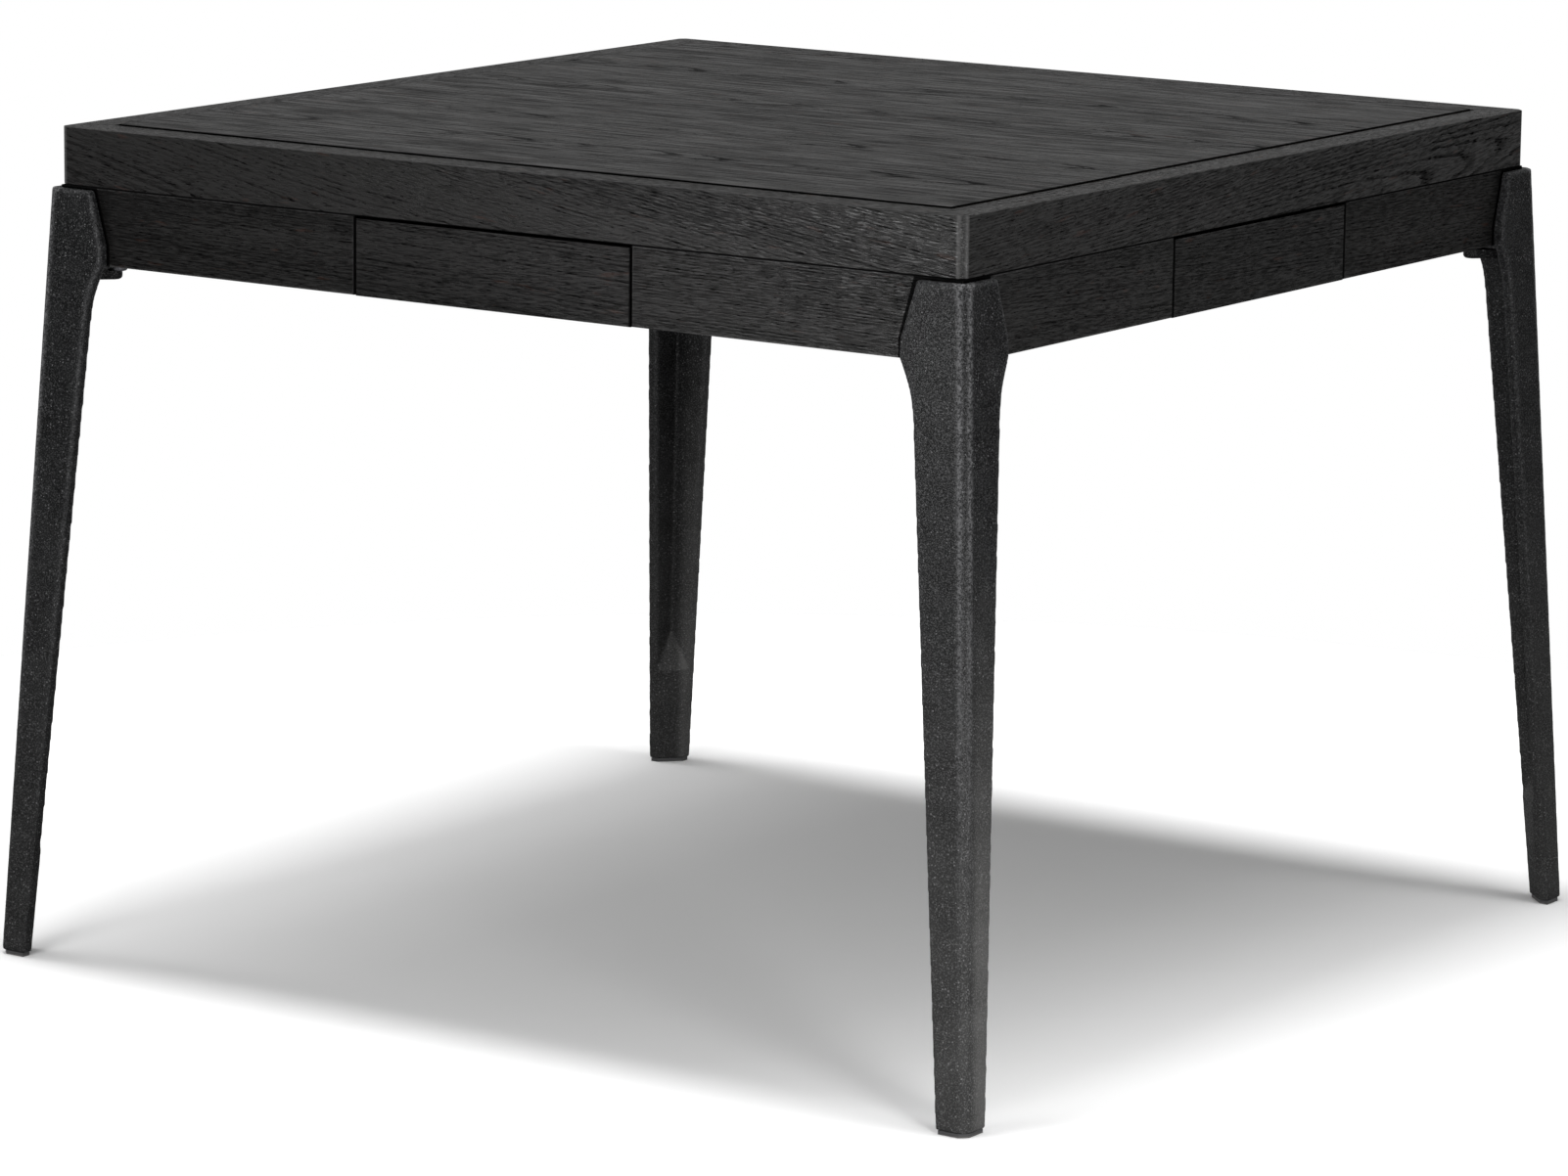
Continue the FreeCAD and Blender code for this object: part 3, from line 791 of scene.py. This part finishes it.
def steelMaterial(name, look, along, seed):
    material = newMaterial(name)
    values = steelValues
    place, run = grainPlace(along)
    shifted = vectorMaths("ADD", run, [seed * step for step in values["seedStep"]])
    lines = noise(shifted, values["lineScale"])
    clouds = noise(shifted, values["cloudScale"], 3.0, 0.6)
    rubs = noise(shifted, values["rubScale"], 3.0, 0.65)
    colour = mixColours(smoothRange(clouds, *values["cloudRange"]), look["dark"], look["light"])
    rubs = smoothRange(rubs, *values["rubRange"], look["stainShare"])
    roughness = timesPlus(centred(lines), values["lineShare"], handledRoughness(shifted, look["roughness"]))
    return finishMaterial(material, {
        "Base Color": mixColours(rubs, colour, look["stain"]), "Metallic": look["metallic"],
        "Roughness": roughness, "Normal": bumpFrom(lines, look["lineDepth"], values["lineStrength"])})


# Moulded plastic of the glides, scuffed by the floor
glideValues = {
    "dark": (0.016, 0.016, 0.017), "light": (0.032, 0.032, 0.033), "scuff": (0.11, 0.105, 0.10),
    "specular": 0.4, "roughness": (0.42, 0.55), "scuffRoughness": 0.3, "grit": 0.0009,
    "relief": (0.00006, 0.6), "scuffHeight": (0.0, 0.002, 0.8, 0.0), "scuffPatches": (0.4, 0.6),
}


def glideMaterial():
    values = glideValues
    material = newMaterial("glidePlastic")
    place = objectPlace()
    texture = useGroup(grit, {"Vector": place, "Size": values["grit"]})
    scuffs = times(smoothRange(splitXyz(place)["Z"], *values["scuffHeight"]),
                   smoothRange(texture["Clouds"], *values["scuffPatches"]))
    colour = mixColours(texture["Clouds"], values["dark"], values["light"])
    colour = mixColours(scuffs, colour, values["scuff"])
    roughness = timesPlus(scuffs, values["scuffRoughness"], handledRoughness(place, values["roughness"]))
    return finishMaterial(material, {
        "Base Color": colour, "Roughness": roughness, "Specular IOR Level": values["specular"],
        "Normal": bumpFrom(texture["Height"], *values["relief"])})


def dressHardware():
    dress("grid_brackets", steelMaterial("bracketSteel", blackSteel, "ring", 2.0))
    dress("leg_bolts", steelMaterial("boltSteel", blackSteel, "X", 5.0))
    dress("foot_glides", glideMaterial())
    for turns, side in enumerate(sideNames):
        inward = "Y" if turns % 2 == 0 else "X"
        for index, member in enumerate(("outer", "middle", "inner")):
            name = "slide_" + side + "_" + member
            dress(name, steelMaterial(name + "Steel", platedSteel, inward, turns * 3.0 + index))


dressCore()
dressHardware()
print("board, steel and plastic dressed")


# Cast legs: the CAD leg's mesh with a cast surface, its corners rounded by fettling and paint
legValues = {
    "weld": 0.00001, "voxel": 0.0014, "smoothing": 12, "lumpSize": 0.022, "lumpHeight": 0.00012,
    "grainSize": 0.0042, "grainHeight": 0.00016, "dark": (0.0040, 0.0041, 0.0043),
    "light": (0.0084, 0.0086, 0.0089), "toneRange": (0.3, 0.7), "paintedGlint": (0.170, 0.170, 0.174),
    # the dust colour and its spread below also paint light: paler low down, on faces that look up or to +X,
    # and on the front and rear legs
    "worn": (0.200, 0.200, 0.205), "dustAndLight": (0.095, 0.094, 0.092), "dustAndLightHeight": (0.0, 0.55, 0.6, 0.0),
    "mottleSpecks": 2.5, "mottleClouds": (0.4, 0.9),
    "dustAndLightShares": (0.45, 1.35, 1.3),  # side legs, front leg, rear leg
    "frontPlace": (0.2, 1.0),  # how far forward the leg stands, as x - y
    "rearPlace": (-1.0, -0.2),
    "dustAndLightAcross": (0.004, 0.02, 0.55, 1.55),  # from the -Y to the +X face of the front leg, by x + y
    "dustAndLightUpward": (0.85, 1.55), "grit": 0.0013, "gritDepth": 0.00022, "gritStrength": 0.8,
    "roughness": (0.40, 0.54), "speckRoughness": -0.15, "coat": (0.04, 0.14), "coatHeight": (0.0, 0.4),
    "coatRoughness": 0.30, "speckShare": 0.62, "wearSharpness": 0.04, "wearSmoothing": 2,
    "wearWidth": 0.013, "wearBeyond": 0.25, "wearScale": 420.0, "wearPatches": (0.40, 0.60, 0.15, 1.0),
    # the wear up high is partly a painted highlight on the arrises
    "wearAndHighlightHeight": (0.05, 0.65, 0.03, 0.56), "upwardGain": 4,
}


def readArray(items, field, columns, kind):
    values = np.zeros(len(items) * columns, kind)
    items.foreach_get(field, values)
    return values.reshape(-1, columns)


def neighbourMean(values, pairs, count):
    total = np.zeros_like(values)
    for here, there in ((0, 1), (1, 0)):
        np.add.at(total, pairs[:, here], values[pairs[:, there]])
    shape = (-1,) + (1,) * (values.ndim - 1)
    return total / count.reshape(shape)


# Marks sharp edges for worn paint that also stands in for highlights on the arrises, and marks faces that
# look up
def markEdgeWearAndHighlight(piece):
    mesh = piece.data
    places = readArray(mesh.vertices, "co", 3, float)
    normals = readArray(mesh.vertex_normals, "vector", 3, np.float32)
    pairs = readArray(mesh.edges, "vertices", 2, int)
    count = np.maximum(np.bincount(pairs.ravel(), minlength=len(places)), 1).astype(float)
    sharpness = ((places - neighbourMean(places, pairs, count)) * normals).sum(1)
    for again in range(legValues["wearSmoothing"]):
        sharpness = 0.5 * sharpness + 0.5 * neighbourMean(sharpness, pairs, count)
    wear = np.clip(sharpness / (legValues["wearSharpness"] * legValues["voxel"]), 0, 1)
    fromCorner = abs(places[:, 0] - places[:, 1])
    wear *= np.where(fromCorner < legValues["wearWidth"], 1.0, legValues["wearBeyond"])
    facingUp = np.clip(normals[:, 2] * legValues["upwardGain"], 0, 1)
    for name, values in (("edgeWear", wear), ("facingUp", facingUp)):
        attribute = mesh.attributes.new(name, "FLOAT", "POINT")
        attribute.data.foreach_set("value", values.astype(np.float32))


def attributeValue(name):
    return addNode("Attribute", attribute_name=name).outputs["Fac"]


# Dust and painted light: a paler colour low down, on faces that look up or to +X, and on the front and rear
# legs, standing in partly for light from the floor and from above
def dustAndPaintedLight(x, y, height, specks, clouds):
    values = legValues
    forward, across = minus(x, y), plus(x, y)
    side, front, rear = values["dustAndLightShares"]
    share = plus(smoothRange(forward, *values["frontPlace"], side, front),
                 smoothRange(forward, *values["rearPlace"], rear - side, 0.0))
    share = times(share, smoothRange(across, *values["dustAndLightAcross"]))
    mottle = timesPlus(specks, values["mottleSpecks"], evenRange(clouds, *values["mottleClouds"]))
    dustAndLight = times(smoothRange(height, *values["dustAndLightHeight"]), mottle)
    upward = evenRange(attributeValue("facingUp"), *values["dustAndLightUpward"])
    return times(times(dustAndLight, share), upward)


def castMaterial():
    values = legValues
    material = newMaterial("castPaint")
    place = objectPlace()
    x, y, height = splitXyz(place)
    casting = useGroup(grit, {"Vector": place, "Size": values["grit"]})
    specks = times(casting["Specks"], values["speckShare"])
    patches = smoothRange(noise(place, values["wearScale"], 3.0, 0.65), *values["wearPatches"])
    # worn paint on the arrises, strongest up high: partly wear, partly a painted highlight
    rubbedAndHighlit = times(times(attributeValue("edgeWear"), patches), smoothRange(height, *values["wearAndHighlightHeight"]))
    tone = smoothRange(casting["Clouds"], *values["toneRange"])
    colour = mixColours(tone, values["dark"], values["light"])
    # dust and painted light: the legs paler low down, on upward and +X faces, and on the front and rear legs
    colour = mixColours(dustAndPaintedLight(x, y, height, specks, casting["Clouds"]), colour, values["dustAndLight"])
    # painted glints: pale specks on the cast grit
    colour = mixColours(specks, colour, values["paintedGlint"])
    colour = mixColours(rubbedAndHighlit, colour, values["worn"])
    roughness = timesPlus(specks, values["speckRoughness"], handledRoughness(place, values["roughness"]))
    gloss = evenRange(smoothRange(casting["Height"], *values["coatHeight"]), *values["coat"])
    relief = bumpFrom(casting["Height"], values["gritDepth"], values["gritStrength"])
    return finishMaterial(material, {
        "Base Color": colour, "Roughness": roughness, "Specular IOR Level": 0.0, "Coat Weight": gloss,
        "Coat Roughness": values["coatRoughness"], "Normal": relief, "Coat Normal": relief})


def modelLeg():
    leg = placeCopy("castLeg", nodes["leg_back_right"].data, Matrix())
    leg.data.materials.clear()
    pick(leg)
    setMode("EDIT")
    bpy.ops.mesh.select_all(action="SELECT")
    bpy.ops.mesh.remove_doubles(threshold=legValues["weld"])
    setMode("OBJECT")
    applyModifier(leg, "REMESH", mode="VOXEL", voxel_size=legValues["voxel"])
    applyModifier(leg, "SMOOTH", factor=0.5, iterations=legValues["smoothing"])
    markEdgeWearAndHighlight(leg)
    displace(leg, "castLumps", legValues["lumpSize"], legValues["lumpHeight"])
    displace(leg, "castGrain", legValues["grainSize"], legValues["grainHeight"])
    bpy.ops.object.shade_smooth()
    leg.data.materials.append(castMaterial())
    return leg


def standLegs():
    pattern = modelLeg()
    for turns, corner in enumerate(cornerNames):
        leg = placeCopy("cast_leg_" + corner, pattern.data, quarterTurn(turns))
        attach(leg, "table_frame")
        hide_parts("leg_" + corner)
        print("leg", corner, len(leg.data.polygons), "faces")
    bpy.data.objects.remove(pattern)


standLegs()


# Game cloth: wool baize stretched in the recess under the panel
clothValues = {
    "divisions": 96, "waveSize": 0.055, "waveHeight": 0.00022, "thickness": 0.0010, "smoothAngle": 40,
    "dark": (0.014, 0.062, 0.038), "light": (0.040, 0.140, 0.088), "specular": 0.15, "sheen": 0.35,
    "sheenRoughness": 0.6, "roughness": (0.8, 1.0), "napScale": 900.0, "napShare": 0.5,
    "threadScale": (420.0, 1500.0, 900.0), "threadShare": 0.5, "curlScale": 260.0, "curl": 0.002,
    "toneRange": (0.32, 0.68), "brushScale": (6.0, 16.0, 10.0), "brushRange": (0.4, 0.7, 0.0, 0.25),
    "relief": (0.00025, 0.8),
}


def clothMaterial():
    values = clothValues
    material = newMaterial("baize")
    place = objectPlace()
    nap = noise(place, values["napScale"], 4.0, 0.7)
    curl = stretched(cells(place, values["curlScale"])["Color"], values["curl"])
    threads = noise(vectorMaths("ADD", place, curl), values["threadScale"])
    tone = timesPlus(nap, values["napShare"], times(threads, values["threadShare"]))
    colour = mixColours(smoothRange(tone, *values["toneRange"]), values["dark"], values["light"])
    brushed = smoothRange(noise(place, values["brushScale"], 3.0), *values["brushRange"])
    colour = mixColours(brushed, colour, values["light"])
    return finishMaterial(material, {
        "Base Color": colour, "Roughness": evenRange(nap, *values["roughness"]),
        "Sheen Weight": values["sheen"], "Sheen Roughness": values["sheenRoughness"],
        "Specular IOR Level": values["specular"], "Normal": bumpFrom(tone, *values["relief"])})


def layCloth():
    low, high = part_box("panel_game_cloth")
    clearSelection()
    bpy.ops.mesh.primitive_grid_add(
        x_subdivisions=clothValues["divisions"], y_subdivisions=clothValues["divisions"], size=high.x - low.x,
        location=(0, 0, (low.z + high.z) / 2))
    cloth = bpy.context.object
    cloth.name = "game_cloth"
    bpy.ops.object.transform_apply(location=True, rotation=True, scale=True)
    displace(cloth, "clothWaves", clothValues["waveSize"], clothValues["waveHeight"], direction="Z")
    applyModifier(cloth, "SOLIDIFY", thickness=clothValues["thickness"], offset=0.0)
    bpy.ops.object.shade_smooth_by_angle(angle=math.radians(clothValues["smoothAngle"]))
    cloth.data.materials.append(clothMaterial())
    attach(cloth, "top_panel")
    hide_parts("panel_game_cloth")


layCloth()
print("cloth laid")


# Helpers for turned metal parts
def addCylinder(sides, radius, height, middle):
    clearSelection()
    bpy.ops.mesh.primitive_cylinder_add(vertices=sides, radius=radius, depth=height, location=middle)
    bpy.ops.object.transform_apply(location=True, rotation=True, scale=True)
    return bpy.context.object


def deselectParts():
    setMode("EDIT")
    bpy.ops.mesh.select_mode(type="VERT")
    bpy.ops.mesh.select_all(action="DESELECT")
    setMode("OBJECT")


def roundEdges(piece, chosen, values):
    deselectParts()
    for edge in piece.data.edges:
        edge.select = all(chosen(piece.data.vertices[v].co) for v in edge.vertices)
    setMode("EDIT")
    bpy.ops.mesh.select_mode(type="EDGE")
    offset, segments, profile = values["rounding"]
    bpy.ops.mesh.bevel(offset=offset, segments=segments, profile=profile)
    setMode("OBJECT")


def cutWith(piece, cutter):
    applyModifier(piece, "BOOLEAN", object=cutter, operation="DIFFERENCE", solver="EXACT")
    bpy.data.objects.remove(cutter)


def smoothMetal(piece, degrees=35):
    pick(piece)
    bpy.ops.object.shade_smooth_by_angle(angle=math.radians(degrees))
    return piece


def joinCopies(name, copies, body, material):
    clearSelection()
    for copy in copies:
        copy.select_set(True)
    bpy.context.view_layer.objects.active = copies[0]
    bpy.ops.object.join()
    joined = bpy.context.object
    joined.name = name
    joined.data.materials.clear()
    joined.data.materials.append(material)
    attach(joined, body)


# Pan-head screws with a cross recess, modelled standing on the floor and copied to their places
screwValues = {
    "radius": 0.0042, "height": 0.0022, "sides": 24,
    "rounding": (0.00165, 4, 0.6),  # size, segments, profile
    "crossLength": 0.0048, "crossWidth": 0.0010, "crossDepth": 0.0014, "bracketSheet": 0.0025,
    "bracketReach": 0.0175, "bracketStep": 0.010, "ledgeWidth": 0.012, "ledgePlaces": (0.09, 0.33),
    "blockInset": 0.031,
    "blockStep": (0.015, 0.018),  # sideways and up
    "slideSheet": 0.0012, "slidePlaces": (0.022, 0.075, 0.190),
}


def modelScrew():
    height, length, width = (screwValues[name] for name in ("height", "crossLength", "crossWidth"))
    screw = addCylinder(screwValues["sides"], screwValues["radius"], height, (0, 0, height / 2))
    roundEdges(screw, lambda point: point.z > height / 2, screwValues)
    for sides in ((length, width), (width, length)):
        clearSelection()
        bpy.ops.mesh.primitive_cube_add(size=1, location=(0, 0, height),
                                        scale=(*sides, 2 * screwValues["crossDepth"]))
        cutWith(screw, bpy.context.object)
    return smoothMetal(screw)


def placeScrews(name, pattern, places, body, material):
    copies = []
    for point, outward in places:
        facing = outward.to_track_quat("Z", "Y").to_matrix().to_4x4()
        spin = Matrix.Rotation(chance.uniform(0, math.pi), 4, "Z")
        copies.append(placeCopy(name, pattern.data, Matrix.Translation(point) @ facing @ spin))
    joinCopies(name, copies, body, material)


def quarterTurned(places, turns):
    turn = quarterTurn(turns, 3)
    return [(turn @ point, turn @ outward) for point, outward in places]


toRight, toBack = Vector((1, 0, 0)), Vector((0, 1, 0))


def mirrored(places):
    return places + [(Vector((-p.x, p.y, p.z)), Vector((-o.x, o.y, o.z))) for p, o in places]


def middleLevel(nodeName):
    low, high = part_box(nodeName)
    return (low.z + high.z) / 2


# Places and directions of the screws on the front side or at the first corner
def bracketPlaces():
    sheet, reach, step = (screwValues[name] for name in ("bracketSheet", "bracketReach", "bracketStep"))
    rail, apron = -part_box("grid_rail_front")[0].y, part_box("corner_blocks")[1].x
    places = []
    for level in (middleLevel("grid_brackets") - step, middleLevel("grid_brackets") + step):
        places.append((Vector((rail + sheet, reach - apron, level)), toRight))
        places.append((Vector((rail + reach, sheet - apron, level)), toBack))
    return mirrored(places)


def ledgePlaces():
    face, level = screwValues["ledgeWidth"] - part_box("panel_ledges")[1].y, middleLevel("panel_ledges")
    return mirrored([(Vector((x, face, level)), toBack) for x in screwValues["ledgePlaces"]])


def blockPlaces():
    diagonal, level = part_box("corner_blocks")[1].x - screwValues["blockInset"], middleLevel("corner_blocks")
    aside, up = screwValues["blockStep"]
    inward = Vector((-1, -1, 0)).normalized()
    return [(Vector((diagonal + s * aside, diagonal - s * aside, level + s * up)), inward) for s in (-1, 1)]


def slidePlaces():
    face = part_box("drawer_front_wall_right")[1].x + screwValues["slideSheet"]
    front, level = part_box("slide_front_inner")[0].y, middleLevel("slide_front_inner")
    return mirrored([(Vector((face, front + back, level)), toRight) for back in screwValues["slidePlaces"]])


def driveScrews():
    pattern = modelScrew()
    black = steelMaterial("screwBlack", blackSteel, "X", 9.0)
    plated = steelMaterial("screwPlated", platedSteel, "X", 11.0)
    for name, places in (("bracket_screws", bracketPlaces()), ("ledge_screws", ledgePlaces()),
                         ("block_screws", blockPlaces())):
        allSides = [place for turns in range(len(sideNames)) for place in quarterTurned(places, turns)]
        placeScrews(name, pattern, allSides, "table_frame", black)
    for turns, side in enumerate(sideNames):
        placeScrews("slide_screws_" + side, pattern, quarterTurned(slidePlaces(), turns), "drawer_" + side,
                    plated)
    bpy.data.objects.remove(pattern)


driveScrews()
print("screws driven")


# Lug under each leg bolt, cast with the leg: a rounded rib from the bolt's head to the leg's inner corner
lugValues = {
    "radius": 0.0086, "drop": 0.0075,
    "overlap": 0.0010,  # up round the bolt's head
    "shift": 0.003,  # of the free end's centre from the bolt, towards the corner
    "reach": 0.025, "sides": 32, "rounding": (0.0034, 5, 0.5), "recessRadius": 0.0042,
    "recessDepth": 0.0030, "headRadius": 0.0090, "tolerance": 0.0001,
}


def modelLug():
    values = lugValues
    boltLow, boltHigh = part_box("leg_bolts")
    axis = boltHigh.x - values["headRadius"] + values["shift"]
    bottom = boltLow.z - values["drop"]
    height = values["drop"] + values["overlap"]
    lug = addCylinder(values["sides"], values["radius"], height, (axis, axis, bottom + height / 2))
    deselectParts()
    for point in lug.data.vertices:
        point.select = point.co.x + point.co.y > 2 * axis + values["tolerance"]
    setMode("EDIT")
    bpy.ops.transform.translate(value=(values["reach"], values["reach"], 0))
    setMode("OBJECT")
    roundEdges(lug, lambda point: point.z < bottom + values["tolerance"], values)
    cutWith(lug, addCylinder(values["sides"], values["recessRadius"], 2 * values["recessDepth"],
                             (axis, axis, bottom)))
    return smoothMetal(lug)


def hangLugs():
    pattern = modelLug()
    copies = [placeCopy("leg_lugs", pattern.data, quarterTurn(turns)) for turns in range(len(cornerNames))]
    joinCopies("leg_lugs", copies, "table_frame", bpy.data.materials["castPaint"])
    bpy.data.objects.remove(pattern)


hangLugs()
print("lugs hung")
